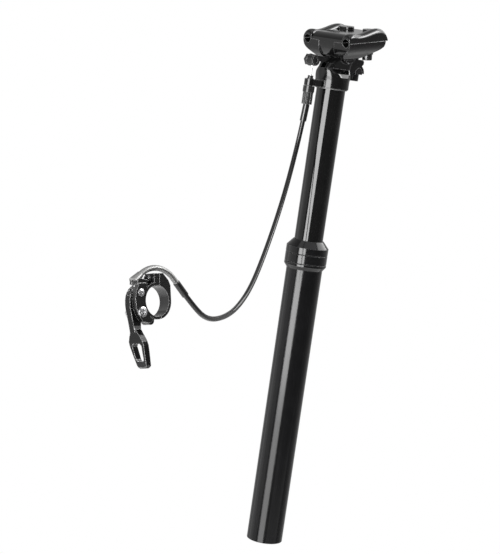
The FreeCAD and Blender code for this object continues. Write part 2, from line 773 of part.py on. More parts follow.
def make_rail_cap(side):
    """Upper jaw of one rail: a rounded, humped cap with a tongue for its bolt."""
    tongue_w = bridge_top + cheek_gap
    cap = Part.makeLoft([cap_section(u, height, side) for u, height in cap_heights], True, False)
    half = clamp_boss_d / 2
    inner, outer = sorted((side * clamp_bolt_y, side * rail_y))
    tongue = block(clamp_bolt_u - half, clamp_bolt_u + half, inner, outer, tongue_w, clamp_bolt_top)
    round_end = rod(clamp_boss_d, tongue_w, clamp_bolt_top, clamp_bolt_u, side * clamp_bolt_y)
    body = fuse(cap, tongue, round_end).cut(rail(side))
    body = body.cut(rod(clamp_bolt_d + 2 * slip, tongue_w - 1, clamp_bolt_top + 1, clamp_bolt_u,
                        side * clamp_bolt_y))
    return on_pivot(body)


def make_clamp_bolts():
    """One bolt for each rail cap, put in from below."""
    low = clamp_boss_low + clamp_bolt_head_h
    bolts = []
    for side in (-1, 1):
        screw = bolt(clamp_bolt_d, clamp_bolt_top - low - 0.2, clamp_bolt_head_d, clamp_bolt_head_h, 4.0)
        screw.translate(vec(clamp_bolt_u, side * clamp_bolt_y, low))
        bolts.append(on_pivot(screw))
    return bolts


def make_tilt_bolt():
    head_top = tilt_seat_z - tilt_seat_flat
    screw = bolt(tilt_bolt_d, tilt_nut_z + tilt_nut_d / 2 - head_top, tilt_bolt_head_d, tilt_bolt_head_h,
                 tilt_bolt_socket)
    screw.translate(vec(tilt_bolt_x, 0, head_top))
    return screw


def make_tilt_washer():
    """Half-round washer that lets the bolt lean as the saddle tilts."""
    low = tilt_seat_z - tilt_seat_flat
    washer = cross_rod(2 * tilt_seat_r, -lug_half_w, lug_half_w, tilt_bolt_x, tilt_seat_z)
    washer = washer.cut(block(tilt_bolt_x - neck_r, tilt_bolt_x + neck_r, -neck_r, neck_r, neck_low, low))
    return washer.cut(rod(tilt_bolt_d + 4 * slip, neck_low, lug_top, tilt_bolt_x))


def make_tilt_nut():
    nut = cross_rod(tilt_nut_d, -tilt_nut_len / 2, tilt_nut_len / 2, tilt_bolt_x, tilt_nut_z)
    return nut.cut(rod(tilt_bolt_d + 2 * slip, tilt_nut_z - tilt_nut_d, tilt_nut_z + tilt_nut_d, tilt_bolt_x))


# The actuator arm, the wire's anchor and the barrel adjuster
def make_actuator_arm():
    """Lever in the head's slot that presses the valve pin when the wire pulls its front end down."""
    half = arm_w / 2
    low = arm_pivot_z - arm_h / 2
    bar = block(arm_pivot_x, cable_x, -half, half, low, low + arm_h)
    eye = cross_rod(2 * arm_eye_r, -half, half, arm_pivot_x, arm_pivot_z)
    end = cross_rod(anchor_d, -half, half, cable_x, anchor_z)
    arm = fuse(bar, eye, end).cut(cross_rod(arm_pin_d + 2 * slip, -arm_w, arm_w, arm_pivot_x, arm_pivot_z))
    arm = arm.cut(cross_rod(anchor_bolt_d + 2 * slip, -arm_w, arm_w, cable_x, anchor_z))
    slot = wire_d / 2 + 4 * slip
    return arm.cut(block(cable_x - wire_slot_half, cable_x + wire_slot_half, -slot, slot,
                         anchor_z - anchor_d, anchor_z))


def make_arm_pin():
    length = 2 * (barrel_half_w - slip)
    return cross_rod(arm_pin_d, -length / 2, length / 2, arm_pivot_x, arm_pivot_z)


def make_anchor_bolt():
    half = arm_w / 2
    length = arm_w + anchor_washer_h + anchor_nut_h + seat_gap
    return along_y(bolt(anchor_bolt_d, length, anchor_head_d, anchor_head_h, anchor_socket), 0, 0, 0).mirror(
        vec(0, 0, 0), vec(0, 1, 0)).translated(vec(cable_x, half, anchor_z))


def make_anchor_nut():
    """Washer and nut on the far side of the arm."""
    half = arm_w / 2
    hole = anchor_bolt_d + 2 * slip
    washer = cross_rod(anchor_washer_d, -half - anchor_washer_h, -half, cable_x, anchor_z)
    nut = hexagon(anchor_head_d, 0, anchor_nut_h)
    nut = along_y(nut, cable_x, -half - anchor_washer_h - anchor_nut_h, anchor_z)
    drill = cross_rod(hole, -4 * arm_w, 0, cable_x, anchor_z)
    return washer.cut(drill), nut.cut(drill)


def make_wire():
    top = anchor_z - anchor_bolt_d / 2 - seat_gap
    return rod(wire_d, wire_low, top, cable_x)


def make_adjuster():
    """Threaded barrel with a collar and a fluted grip below the stop, hollow for the wire."""
    ring_low = adjuster_ring_top - adjuster_ring_h
    parts = [rod(adjuster_nub_d, adjuster_top, adjuster_nub_top, cable_x),
             rod(adjuster_thread_d, ring_low, adjuster_top, cable_x),
             rod(adjuster_ring_d, ring_low, adjuster_ring_top, cable_x)]
    grip = rod(adjuster_grip_d, adjuster_grip_low, ring_low, cable_x)
    flute_d = 0.16 * adjuster_grip_d
    for cut in around(rod(flute_d, adjuster_grip_low - 1, ring_low, cable_x + adjuster_grip_d / 2),
                      adjuster_flutes, (cable_x, 0)):
        grip = grip.cut(cut)
    body = fuse(grip, *parts).cut(rod(wire_d + 2 * wire_room, adjuster_grip_low - 1, adjuster_nub_top + 1,
                                      cable_x))
    socket_h = ferrule_nose_h + seat_gap
    return body.cut(rod(ferrule_nose_d + 2 * seat_gap + 4 * slip, adjuster_grip_low - 1,
                        adjuster_grip_low + socket_h, cable_x))


def leaning(x, z):
    """A point given beside and below the ferrule's shoulder, turned to the ferrule's lean."""
    lean = math.radians(ferrule_lean)
    mouth = adjuster_grip_low - ferrule_gap
    return vec(cable_x + x * math.cos(lean) - z * math.sin(lean), 0, mouth + z * math.cos(lean))


def make_ferrule():
    """Metal end cap of the housing, its nose in the adjuster."""
    down = leaning(0, -ferrule_len) - leaning(0, 0)
    shoulder = leaning(0, 0)
    tip = leaning(0, ferrule_nose_h)
    body = Part.makeCylinder(ferrule_d / 2, ferrule_len, shoulder, down)
    nose = Part.makeCylinder(ferrule_nose_d / 2, ferrule_nose_h, tip, down)
    body = fuse(body, nose).cut(Part.makeCylinder(ferrule_bore_d / 2, 2 * ferrule_len, tip - down, down))
    mouth = leaning(0, housing_in_ferrule - ferrule_len)
    return body.cut(Part.makeCylinder(housing_d / 2 + slip, ferrule_len, mouth, down))


# The remote
bar_r = bar_d / 2
half_w = bar_clamp_w / 2
noodle_y = -1.5


def placed_remote(shape):
    """Moves a shape from the remote's own frame to its place."""
    placed = shape.copy()
    placed.rotate(vec(0, 0, 0), vec(1, 0, 0), remote_roll)
    placed.translate(vec(*remote_at))
    return placed


def remote_point(x, y, z):
    roll = math.radians(remote_roll)
    return vec(remote_at[0] + x, remote_at[1] + y * math.cos(roll) - z * math.sin(roll),
               remote_at[2] + y * math.sin(roll) + z * math.cos(roll))


def in_front(outline):
    """An outline that is measured from the front of the bar clamp's ring."""
    return [(ring_r + x, z) for x, z in outline]


def make_remote_bracket():
    """Front half of the bar clamp with the lever's plate and the slotted seat of the noodle."""
    low_x = split_x + split_gap / 2
    ring = cross_rod(2 * ring_r, -half_w, half_w, 0, 0)
    ring = ring.common(block(low_x, 2 * ring_r, -half_w, half_w, -ring_r, ring_r))
    ear = block(low_x, ear_front, -half_w, half_w, bar_r, ear_z + ear_h / 2)
    plate = side_plate([(plate_rear, plate_top)] + in_front(plate_outline)
                       + [(hinge_x, plate_hinge_z), (plate_rear, -plate_rear)], half_w - plate_t, half_w)
    seat = side_plate([(x, seat_low + rise) for x, rise in in_front(seat_outline)], -half_w + 0.5, half_w - 1)
    seat_axis = vec(-math.cos(math.radians(noodle_rise)), 0, math.sin(math.radians(noodle_rise)))
    start = vec(noodle_start_x, noodle_y, noodle_start_z)
    foot = start - seat_axis * seat_len
    web = block(ring_r - 3, plate_rear + 4, half_w - plate_t, half_w - 1, bar_r - 3, seat_low + 2)
    half = hinge_knuckle_w / 2
    knuckle = cross_rod(hinge_knuckle_d, -half, half, hinge_x, hinge_z)
    body = fuse(ring, ear, plate, seat, web, knuckle)
    knuckle_r = hinge_knuckle_d / 2 + seat_gap
    body = body.cut(block(low_x - 1, hinge_x, -half_w - 1, -half - face_gap, -2 * ring_r, 0))
    body = body.cut(cross_rod(2 * knuckle_r, -half_w - 1, -half - face_gap, hinge_x, hinge_z))
    body = body.cut(cross_rod(bar_d, -bar_r, bar_r, 0, 0))
    body = body.cut(Part.makeCylinder(seat_d / 2 + slip, 2 * seat_len, foot, seat_axis))
    wire_half = noodle_bore_d / 2
    body = body.cut(Part.makeCylinder(wire_half, 2 * seat_len, foot - seat_axis * seat_len, seat_axis))
    body = body.cut(block(plate_rear + 6, 2 * ring_r, noodle_y - wire_half, noodle_y + wire_half, bar_r,
                          wire_gap_top))
    bolt_room = bar_bolt_d / 2 + 2 * slip
    body = body.cut(Part.makeCylinder(bolt_room, ring_r, vec(low_x - 1, 0, ear_z), vec(1, 0, 0)))
    body = body.cut(cross_rod(hinge_pin_d + 2 * slip, -half_w, half + 1, hinge_x, hinge_z))
    head_room = bar_bolt_head_d / 2 + seat_gap
    head_deep = bar_bolt_head_h + seat_gap
    body = body.cut(Part.makeCylinder(head_room, head_deep, vec(ear_front, 0, ear_z), vec(1, 0, 0)))
    boss_room = lever_bolt_head_d / math.sqrt(3) + seat_gap
    body = body.cut(cross_rod(2 * boss_room, -bar_r, half_w - plate_t, lever_pivot_x, lever_pivot_z))
    body = body.cut(cross_rod(lever_bolt_d + 2 * slip, 0, half_w + 1, lever_pivot_x, lever_pivot_z))
    return body.cut(cross_rod(screw_d + 2 * slip, 0, half_w + 1, screw_x, screw_z))


def make_remote_strap():
    """Rear half of the bar clamp, which hinges beside the bracket's knuckle."""
    high_x = split_x - split_gap / 2
    inner = -hinge_knuckle_w / 2 - 2 * face_gap
    disc = cross_rod(2 * ring_r, -half_w, half_w, 0, 0)
    ring = disc.common(block(-2 * ring_r, high_x, -half_w, half_w, -ring_r, ring_r))
    foot = disc.common(block(high_x - 1, hinge_x - seat_gap, -half_w, inner, -ring_r, -bar_r / 2))
    knuckle = cross_rod(hinge_knuckle_d, -half_w, inner, hinge_x, hinge_z)
    top = ear_z + ear_h / 2
    ear = side_plate([(high_x, 0), (high_x, top), (strap_lug_bevel - strap_lug_rear, top),
                      (strap_shoulder_w - ring_r, top - strap_shoulder_h), (-ring_r, bar_r), (-ring_r, 0)],
                     -half_w, half_w)
    body = fuse(ring, foot, knuckle, ear)
    body = body.cut(cross_rod(bar_d, -bar_r, bar_r, 0, 0))
    body = body.cut(cross_rod(hinge_pin_d + 2 * slip, -half_w - 1, 0, hinge_x, hinge_z))
    hole = bar_bolt_d / 2 + slip
    reach = 2 * strap_lug_rear
    return body.cut(Part.makeCylinder(hole, reach, vec(-reach, 0, ear_z), vec(1, 0, 0)))


def make_hinge_pin():
    return cross_rod(hinge_pin_d, -half_w, hinge_knuckle_w / 2, hinge_x, hinge_z)


def make_bar_bolt():
    length = ear_front + strap_lug_rear
    screw = bolt(bar_bolt_d, length, bar_bolt_head_d, bar_bolt_head_h, bar_bolt_socket)
    screw.rotate(vec(0, 0, 0), vec(0, 1, 0), -90)
    screw.translate(vec(ear_front, 0, ear_z))
    return screw


lever_near = half_w - plate_t - seat_gap
lever_far = lever_near - lever_t


def inside(middle, half, corners):
    """Corners of an outline seen from the front, each measured inwards from the side at middle + half."""
    inwards = math.copysign(1, -half)
    return [(middle + half + inwards * inset, z) for inset, z in corners]


def make_lever():
    """Blade on the pivot with a slot for the wire's nipple above it and a slotted paddle below it."""
    blade = side_plate(in_front(blade_outline), lever_far, lever_near)
    boss = cross_rod(2 * lever_boss_r, lever_far, lever_near, lever_pivot_x, lever_pivot_z)
    half = paddle_w / 2
    end = paddle_end_w / 2
    profile = side_plate(in_front(paddle_profile), paddle_y - half - 1, paddle_y + half + 1)
    outline = inside(paddle_y, end, paddle_left_end) + inside(paddle_y, half, paddle_left)
    outline += [(lever_near + y, z) for y, z in paddle_neck]
    outline += [(lever_far + y, z) for y, z in paddle_neck_far]
    outline += inside(paddle_y, -half, paddle_right) + inside(paddle_y, -end, paddle_right_end)
    slot_half = paddle_slot_w / 2
    slot = inside(paddle_y, slot_half, slot_left) + inside(paddle_y, -slot_half, slot_right)
    reach = 3 * ring_r
    paddle = profile.common(front_plate(outline, 0, reach))
    body = fuse(blade, boss, paddle).cut(front_plate(slot, 0, reach))
    wire_half = noodle_bore_d / 2
    body = body.cut(block(lever_pivot_x - lever_boss_r - 1, reach, noodle_y - wire_half, noodle_y + wire_half,
                          nipple_z - nipple_d / 4, nipple_z + 2 * nipple_d))
    body = body.cut(cross_rod(nipple_d + 4 * slip, lever_far - 1, lever_near + 1, nipple_x, nipple_z))
    return body.cut(cross_rod(lever_bush_d + 2 * slip, lever_far - 1, lever_near + 1, lever_pivot_x,
                              lever_pivot_z))


def make_lever_bush():
    bore_d = lever_bolt_d + 2 * slip
    bush = cross_rod(lever_bush_d, lever_far - seat_gap, lever_near + seat_gap, lever_pivot_x, lever_pivot_z)
    return bush.cut(cross_rod(bore_d, lever_far - 1, lever_near + 1, lever_pivot_x, lever_pivot_z))


def facing_bolt(d, length, head_d, head_h, socket, x, y, z):
    """A screw whose head faces +Y, its underside at y."""
    screw = bolt(d, length, head_d, head_h, socket)
    screw.rotate(vec(0, 0, 0), vec(1, 0, 0), 90)
    screw.translate(vec(x, y, z))
    return screw


def make_lever_bolt():
    length = half_w - lever_far + seat_gap + 2 * lever_bolt_head_h
    return facing_bolt(lever_bolt_d, length, lever_bolt_head_d, lever_bolt_head_h, lever_bolt_socket,
                       lever_pivot_x, half_w, lever_pivot_z)


def make_lever_nut():
    nut = hexagon(lever_bolt_head_d, 0, 2 * lever_bolt_head_h)
    nut = along_y(nut, lever_pivot_x, lever_far - seat_gap - 2 * lever_bolt_head_h, lever_pivot_z)
    return nut.cut(cross_rod(lever_bolt_d + 2 * slip, -2 * lever_t, 0, lever_pivot_x, lever_pivot_z))


def make_plate_screw():
    return facing_bolt(screw_d, plate_t, screw_head_d, screw_head_h, screw_socket, screw_x, half_w, screw_z)


def make_nipple():
    """Barrel nipple in the lever with the end of the wire, which points at the noodle's seat."""
    barrel = cross_rod(nipple_d, lever_far + slip, lever_near - slip, nipple_x, nipple_z)
    rise = math.radians(noodle_rise)
    mouth = vec(noodle_start_x, noodle_y, noodle_start_z)
    mouth += vec(math.cos(rise), 0, -math.sin(rise)) * seat_len
    middle = vec(nipple_x, noodle_y, nipple_z)
    way = mouth - middle
    stub = Part.makeCylinder(wire_d / 2, way.Length - 2 * seat_gap, middle, way.normalize())
    return fuse(barrel, stub)


def noodle_path():
    """The noodle's start, middle of bend, end of bend and tail end, and its final direction."""
    rise = math.radians(noodle_rise)
    fall = math.radians(noodle_fall)
    r = noodle_bend_r
    centre_x = noodle_start_x - r * math.sin(rise)
    centre_z = noodle_start_z - r * math.cos(rise)
    start = vec(noodle_start_x, noodle_y, noodle_start_z)
    middle = vec(centre_x, noodle_y, centre_z + r)
    end = vec(centre_x - r * math.sin(fall), noodle_y, centre_z + r * math.cos(fall))
    way = vec(-math.cos(fall), 0, -math.sin(fall))
    return start, middle, end, end + way * noodle_tail, way


def swept(wire, d, at, way):
    """A round section swept along a wire of tangent lines and arcs."""
    ring = Part.Wire(Part.Circle(at, way, d / 2).toShape())
    return wire.makePipeShell([ring], True, False)


def make_noodle():
    """Bent metal tube that brings the wire over the handlebar into the lever."""
    start, middle, end, tail, way = noodle_path()
    rise = math.radians(noodle_rise)
    first = vec(-math.cos(rise), 0, math.sin(rise))
    foot = start - first * seat_len
    head = Part.makeCone(seat_d / 2, seat_top_d / 2, seat_len, foot, first)
    wire = Part.Wire([Part.LineSegment(foot, start).toShape(), Part.Arc(start, middle, end).toShape(),
                      Part.LineSegment(end, tail).toShape()])
    return fuse(swept(wire, noodle_d, foot, first), head).cut(swept(wire, noodle_bore_d, foot, first))


def make_noodle_ferrule():
    """Cap on the noodle's outer end that the housing is pushed into."""
    tail = noodle_path()[3]
    way = noodle_path()[4]
    body = Part.makeCylinder(noodle_ferrule_d / 2, noodle_ferrule_len, tail - way * noodle_lap, way)
    lap = 2 * noodle_lap
    body = body.cut(Part.makeCylinder(noodle_d / 2 + slip, lap, tail - way * lap, way))
    body = body.cut(Part.makeCylinder(noodle_bore_d / 2, noodle_ferrule_len, tail - way, way))
    low = noodle_ferrule_len - noodle_lap - housing_in_noodle
    return body.cut(Part.makeCylinder(housing_d / 2 + slip, noodle_ferrule_len, tail + way * low, way))


# The cable housing
def housing_points():
    """The housing's route, from inside the post's ferrule to inside the noodle's."""
    low = housing_in_ferrule - ferrule_len
    first = leaning(0, low)
    second = leaning(0, low - housing_first_run)
    tail = noodle_path()[3]
    way = noodle_path()[4]
    mouth = tail + way * (noodle_ferrule_len - noodle_lap)
    last = mouth - way * housing_in_noodle
    before = mouth + way * housing_last_run
    ends = [remote_point(*last), remote_point(*before)]
    route = [vec(cable_x + x, y, neck_low + z) for x, y, z in housing_route]
    return [first, second] + route + [ends[1], ends[0]]


def make_housing():
    points = housing_points()
    edges = []
    here = points[0]
    for before, corner, after in zip(points, points[1:], points[2:]):
        into = (corner - before).normalize()
        out = (after - corner).normalize()
        turn = into.getAngle(out)
        cut = 0.45 * min((corner - before).Length, (after - corner).Length)
        start = corner - into * cut
        end = corner + out * cut
        radius = cut / math.tan(turn / 2)
        middle = corner + (out - into).normalize() * (radius / math.cos(turn / 2) - radius)
        edges += [Part.LineSegment(here, start).toShape(), Part.Arc(start, middle, end).toShape()]
        here = end
    edges.append(Part.LineSegment(here, points[-1]).toShape())
    wire = Part.Wire(edges)
    shape = swept(wire, housing_d, points[0], points[1] - points[0])
    print("housing length", round(wire.Length, 1))
    return shape


save("outer_tube", make_outer_tube())
save("seal_collar", make_seal_collar())
save("upper_bushing", make_upper_bushing())
save("wiper_seal", make_wiper_seal())
save("bottom_cap", make_bottom_cap())
save("rod_bolt", make_rod_bolt())
save("piston_rod", make_piston_rod())
save("piston", make_piston())
save("piston_ring", make_piston_ring())
save("stanchion_tube", make_stanchion())
save("lower_guide", make_lower_guide())
save("guide_keys", *make_keys())
save("rod_gland", make_rod_gland())
save("cartridge_tube", make_cartridge_tube())
save("valve_body", make_valve_body())
save("valve_pin", make_valve_pin())
save("floating_piston", make_floating_piston())
save("head_plug", make_head_plug())
save("trim_ring", make_trim_ring())
save("head_forging", make_head_forging())
save("cross_pin", make_cross_pin())
save("lower_clamp", make_lower_clamp())
save("rail_cap_left", make_rail_cap(1))
save("rail_cap_right", make_rail_cap(-1))
save("clamp_bolts", *make_clamp_bolts())
save("tilt_bolt", make_tilt_bolt())
save("tilt_washer", make_tilt_washer())
save("tilt_nut", make_tilt_nut())
save("actuator_arm", make_actuator_arm())
save("arm_pin", make_arm_pin())
save("anchor_bolt", make_anchor_bolt())
save("anchor_nut", *make_anchor_nut())
save("inner_wire", make_wire())
save("barrel_adjuster", make_adjuster())
save("housing_ferrule", make_ferrule())
save("cable_housing", make_housing())
save("noodle", placed_remote(make_noodle()))
save("noodle_ferrule", placed_remote(make_noodle_ferrule()))
save("remote_bracket", placed_remote(make_remote_bracket()))
save("remote_strap", placed_remote(make_remote_strap()))
save("hinge_pin", placed_remote(make_hinge_pin()))
save("bar_bolt", placed_remote(make_bar_bolt()))
save("lever", placed_remote(make_lever()))
save("lever_bush", placed_remote(make_lever_bush()))
save("lever_bolt", placed_remote(make_lever_bolt()))
save("lever_nut", placed_remote(make_lever_nut()))
save("plate_screw", placed_remote(make_plate_screw()))
save("wire_nipple", placed_remote(make_nipple()))
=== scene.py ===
import math

import bmesh
import bpy
from mathutils import Matrix, Vector


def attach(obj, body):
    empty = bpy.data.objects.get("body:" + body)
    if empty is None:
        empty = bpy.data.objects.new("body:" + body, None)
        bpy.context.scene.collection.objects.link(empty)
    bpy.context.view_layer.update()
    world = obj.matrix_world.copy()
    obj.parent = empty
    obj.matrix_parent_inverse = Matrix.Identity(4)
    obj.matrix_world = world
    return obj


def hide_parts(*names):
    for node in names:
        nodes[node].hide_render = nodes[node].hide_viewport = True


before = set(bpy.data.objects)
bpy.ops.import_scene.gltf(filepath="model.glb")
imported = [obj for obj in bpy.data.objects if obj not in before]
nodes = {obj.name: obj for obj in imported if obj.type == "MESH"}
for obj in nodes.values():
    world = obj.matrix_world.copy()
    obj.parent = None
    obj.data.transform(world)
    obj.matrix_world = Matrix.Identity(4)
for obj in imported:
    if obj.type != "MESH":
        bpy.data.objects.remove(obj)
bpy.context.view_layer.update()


# Studio. A long lens stands in front of the post, to its left and a little above it. Two lamps, one
# over the other, make the bright line down the tubes, and weak ones light the sides, top and foot.
# The room is dim, brighter towards its white backdrop, and a white floor lies 1 m below.
camera_place = (1.04040, 0.93678, 0.44616)
camera_right = Vector((-0.70156, 0.69865, 0.14032))
camera_up = Vector((-0.00960, -0.20615, 0.97847))
camera_forward = Vector((-0.71254, -0.68511, -0.15134))
camera_data = bpy.data.cameras.new("camera")
camera_data.sensor_width = 36.0
camera_data.lens = 105.43
camera_data.clip_start = 0.05
camera_data.clip_end = 50.0
camera = bpy.data.objects.new("camera", camera_data)
bpy.context.scene.collection.objects.link(camera)
camera_turn = Matrix((camera_right, camera_up, -camera_forward)).transposed().to_4x4()
camera.matrix_world = Matrix.Translation(camera_place) @ camera_turn
bpy.context.scene.camera = camera
bpy.context.scene.view_settings.view_transform = "Standard"


def softbox(name, azimuth, elevation, distance, width, height, power, aim):
    """A rectangular lamp that looks at a point of the object from a direction given in degrees."""
    data = bpy.data.lights.new(name, "AREA")
    data.shape = "RECTANGLE"
    data.size = width
    data.size_y = height
    data.energy = power
    lamp = bpy.data.objects.new(name, data)
    bpy.context.scene.collection.objects.link(lamp)
    a, e = math.radians(azimuth), math.radians(elevation)
    away = Vector((math.sin(a) * math.cos(e), -math.cos(a) * math.cos(e), math.sin(e)))
    lamp.location = Vector(aim) + away * distance
    lamp.rotation_euler = away.to_track_quat("Z", "Y").to_euler()


def add_node(tree, kind, values=None, **settings):
    """Adds a shader node with its settings, and then the values of its inputs."""
    node = tree.nodes.new("ShaderNode" + kind)
    for setting, value in settings.items():
        setattr(node, setting, value)
    for socket, value in (values or {}).items():
        node.inputs[socket].default_value = value
    return node


def connect(tree, wires):
    """Links shader nodes. Each wire names a node and its output, then a node and its input."""
    for source, output, target, socket in wires:
        tree.links.new(source.outputs[output], target.inputs[socket])


middle_aim = (0.05, 0.03, 0.15)
high_aim = (0.05, 0.03, 0.70)
low_aim = (0.05, 0.03, -0.75)
foot_aim = (0.0, 0.0, 0.08)
# Each lamp has azimuth, elevation and distance, then width, height and power, then its aim.
softbox("key_strip", 107, 0, 2.2, 1.43, 2.1, 216, high_aim)
softbox("key_low", 107, 0, 2.2, 1.43, 0.8, 34, low_aim)
softbox("left_fill", 44, 0, 2.6, 3.4, 3.4, 33, middle_aim)
softbox("top_soft", 140, 76, 2.2, 2.6, 2.6, 28, middle_aim)
softbox("rear_edge", 250, 42, 2.4, 2.4, 1.4, 60, middle_aim)
softbox("kicker", 226, 38, 2.2, 0.5, 0.5, 16, middle_aim)
softbox("floor_light", 178, -27, 2.4, 3.2, 0.9, 6, foot_aim)

backdrop_white = 1.0
backdrop_glow = 0.60
backdrop_side = (-0.72, -0.69, 0.0)
backdrop_edge = -0.5
backdrop_full = 0.7
room_glow = 0.18
room = bpy.data.worlds.new("room")
room.use_nodes = True
background = room.node_tree.nodes["Background"]
background.inputs["Color"].default_value = (1.0, 1.0, 1.0, 1.0)
room_rays = add_node(room.node_tree, "LightPath")
room_direction = add_node(room.node_tree, "TexCoord")
towards_backdrop = add_node(room.node_tree, "VectorMath", {1: backdrop_side}, operation="DOT_PRODUCT")
reflected_level = add_node(room.node_tree, "MapRange", {
    "From Min": backdrop_edge, "From Max": backdrop_full,
    "To Min": room_glow, "To Max": backdrop_glow,
}, interpolation_type="SMOOTHSTEP")
room_level = add_node(room.node_tree, "MapRange", {"To Max": backdrop_white})
connect(room.node_tree, [
    (room_direction, "Generated", towards_backdrop, 0),
    (towards_backdrop, "Value", reflected_level, "Value"),
    (reflected_level, "Result", room_level, "To Min"),
    (room_rays, "Is Camera Ray", room_level, "Value"),
    (room_level, "Result", background, "Strength")])
bpy.context.scene.world = room

floor_height = -1.0
floor_reach = 1.6
floor_glow = 0.9
floor_bmesh = bmesh.new()
bmesh.ops.create_grid(floor_bmesh, x_segments=1, y_segments=1, size=floor_reach,
                      matrix=Matrix.Translation((0.0, 0.0, floor_height)))
floor_mesh = bpy.data.meshes.new("floor")
floor_bmesh.to_mesh(floor_mesh)
floor_bmesh.free()
floor = bpy.data.objects.new("floor", floor_mesh)
bpy.context.scene.collection.objects.link(floor)
floor_paint = bpy.data.materials.new("floor_paint")
floor_paint.use_nodes = True
floor_shader = floor_paint.node_tree.nodes["Principled BSDF"]
floor_shader.inputs["Base Color"].default_value = (0.86, 0.86, 0.86, 1.0)
floor_shader.inputs["Roughness"].default_value = 0.9
floor_shader.inputs["Emission Color"].default_value = (1.0, 1.0, 1.0, 1.0)
floor_rays = add_node(floor_paint.node_tree, "LightPath")
floor_level = add_node(floor_paint.node_tree, "Math", {1: floor_glow}, operation="MULTIPLY")
connect(floor_paint.node_tree, [
    (floor_rays, "Is Camera Ray", floor_level, 0),
    (floor_level, 0, floor_shader, "Emission Strength")])
floor_mesh.materials.append(floor_paint)


# Cable housing. A coiled steel casing in a smooth black plastic sheath, 4 mm thick. It leaves the
# ferrule under the barrel adjuster, sags in one loose curve and rises into the noodle's ferrule.
housing_diameter = 0.004
housing_route = [
    (0.02850, 0.0, 0.38183), (0.03004, 0.0, 0.36590), (0.03850, 0.00450, 0.34050),
    (0.04980, 0.01100, 0.31600), (0.06600, 0.02030, 0.29050), (0.08850, 0.03350, 0.26350),
    (0.11400, 0.04850, 0.24050), (0.14300, 0.06430, 0.22800), (0.17300, 0.08050, 0.22530),
    (0.20150, 0.09380, 0.22780), (0.22028, 0.09874, 0.23660), (0.23433, 0.09459, 0.25165),
]


def shader_group(name, inputs, outputs):
    """An empty group of shader nodes with named sockets, and its input and output nodes."""
    group = bpy.data.node_groups.new(name, "ShaderNodeTree")
    for label in inputs:
        group.interface.new_socket(label, in_out="INPUT", socket_type="NodeSocketFloat")
    for label, kind in outputs.items():
        group.interface.new_socket(label, in_out="OUTPUT", socket_type=kind)
    return group, group.nodes.new("NodeGroupInput"), group.nodes.new("NodeGroupOutput")


def build_surface_grain():
    """Slow drift and fine grain of a surface: a level between Low and High, and a height for bump."""
    drift_scale = 45.0
    drift_share = 0.55
    noise_low, noise_high = 0.32, 0.68
    group, given, result = shader_group(
        "surface_grain", ["Scale", "Low", "High"],
        {"Level": "NodeSocketFloat", "Height": "NodeSocketFloat"})
    place = add_node(group, "TexCoord")
    drift = add_node(group, "TexNoise", {"Scale": drift_scale, "Detail": 5.0})
    grain = add_node(group, "TexNoise", {"Detail": 3.0})
    drift_part = add_node(group, "Math", {1: drift_share}, operation="MULTIPLY")
    mixed = add_node(group, "Math", {1: 1.0 - drift_share}, operation="MULTIPLY_ADD")
    spread = add_node(group, "MapRange", {"From Min": noise_low, "From Max": noise_high})
    connect(group, [
        (place, "Object", drift, "Vector"), (place, "Object", grain, "Vector"),
        (given, "Scale", grain, "Scale"), (drift, "Fac", drift_part, 0), (grain, "Fac", mixed, 0),
        (drift_part, 0, mixed, 2), (mixed, 0, spread, "Value"), (given, "Low", spread, "To Min"),
        (given, "High", spread, "To Max"), (spread, "Result", result, "Level"),
        (grain, "Fac", result, "Height")])
    return group


def build_rubbed_and_highlit_edges():
    """Edges broken to a small radius, and a mask that lightens them: partly where handling has rubbed
    them, partly a painted highlight where the edges would catch the light.
    """
    turn_begins, turn_full = 0.995, 0.92
    patch_scale = 260.0
    patch_low, patch_high = 0.35, 0.65
    least_rubbed = 0.35
    group, given, result = shader_group(
        "rubbed_and_highlit_edges", ["Radius", "Wear_and_highlight"],
        {"Mask": "NodeSocketFloat", "Normal": "NodeSocketVector"})
    rounding = add_node(group, "Bevel", samples=6)
    surface = add_node(group, "NewGeometry")
    compare = add_node(group, "VectorMath", operation="DOT_PRODUCT")
    # This mask of the edges carries a painted highlight as well as rubbed wear.
    mask = add_node(group, "MapRange", {"From Min": turn_begins, "From Max": turn_full})
    place = add_node(group, "TexCoord")
    patches = add_node(group, "TexNoise", {"Scale": patch_scale, "Detail": 4.0})
    broken = add_node(group, "MapRange", {
        "From Min": patch_low, "From Max": patch_high, "To Min": least_rubbed})
    joined = add_node(group, "Math", operation="MULTIPLY")
    scaled = add_node(group, "Math", operation="MULTIPLY")
    connect(group, [
        (given, "Radius", rounding, "Radius"), (rounding, "Normal", compare, 0),
        (surface, "Normal", compare, 1), (compare, "Value", mask, "Value"),
        (place, "Object", patches, "Vector"), (patches, "Fac", broken, "Value"),
        (mask, "Result", joined, 0), (broken, "Result", joined, 1), (joined, 0, scaled, 0),
        (given, "Wear_and_highlight", scaled, 1), (scaled, 0, result, "Mask"),
        (rounding, "Normal", result, "Normal")])
    return group


surface_grain = build_surface_grain()
rubbed_and_highlit_edges = build_rubbed_and_highlit_edges()


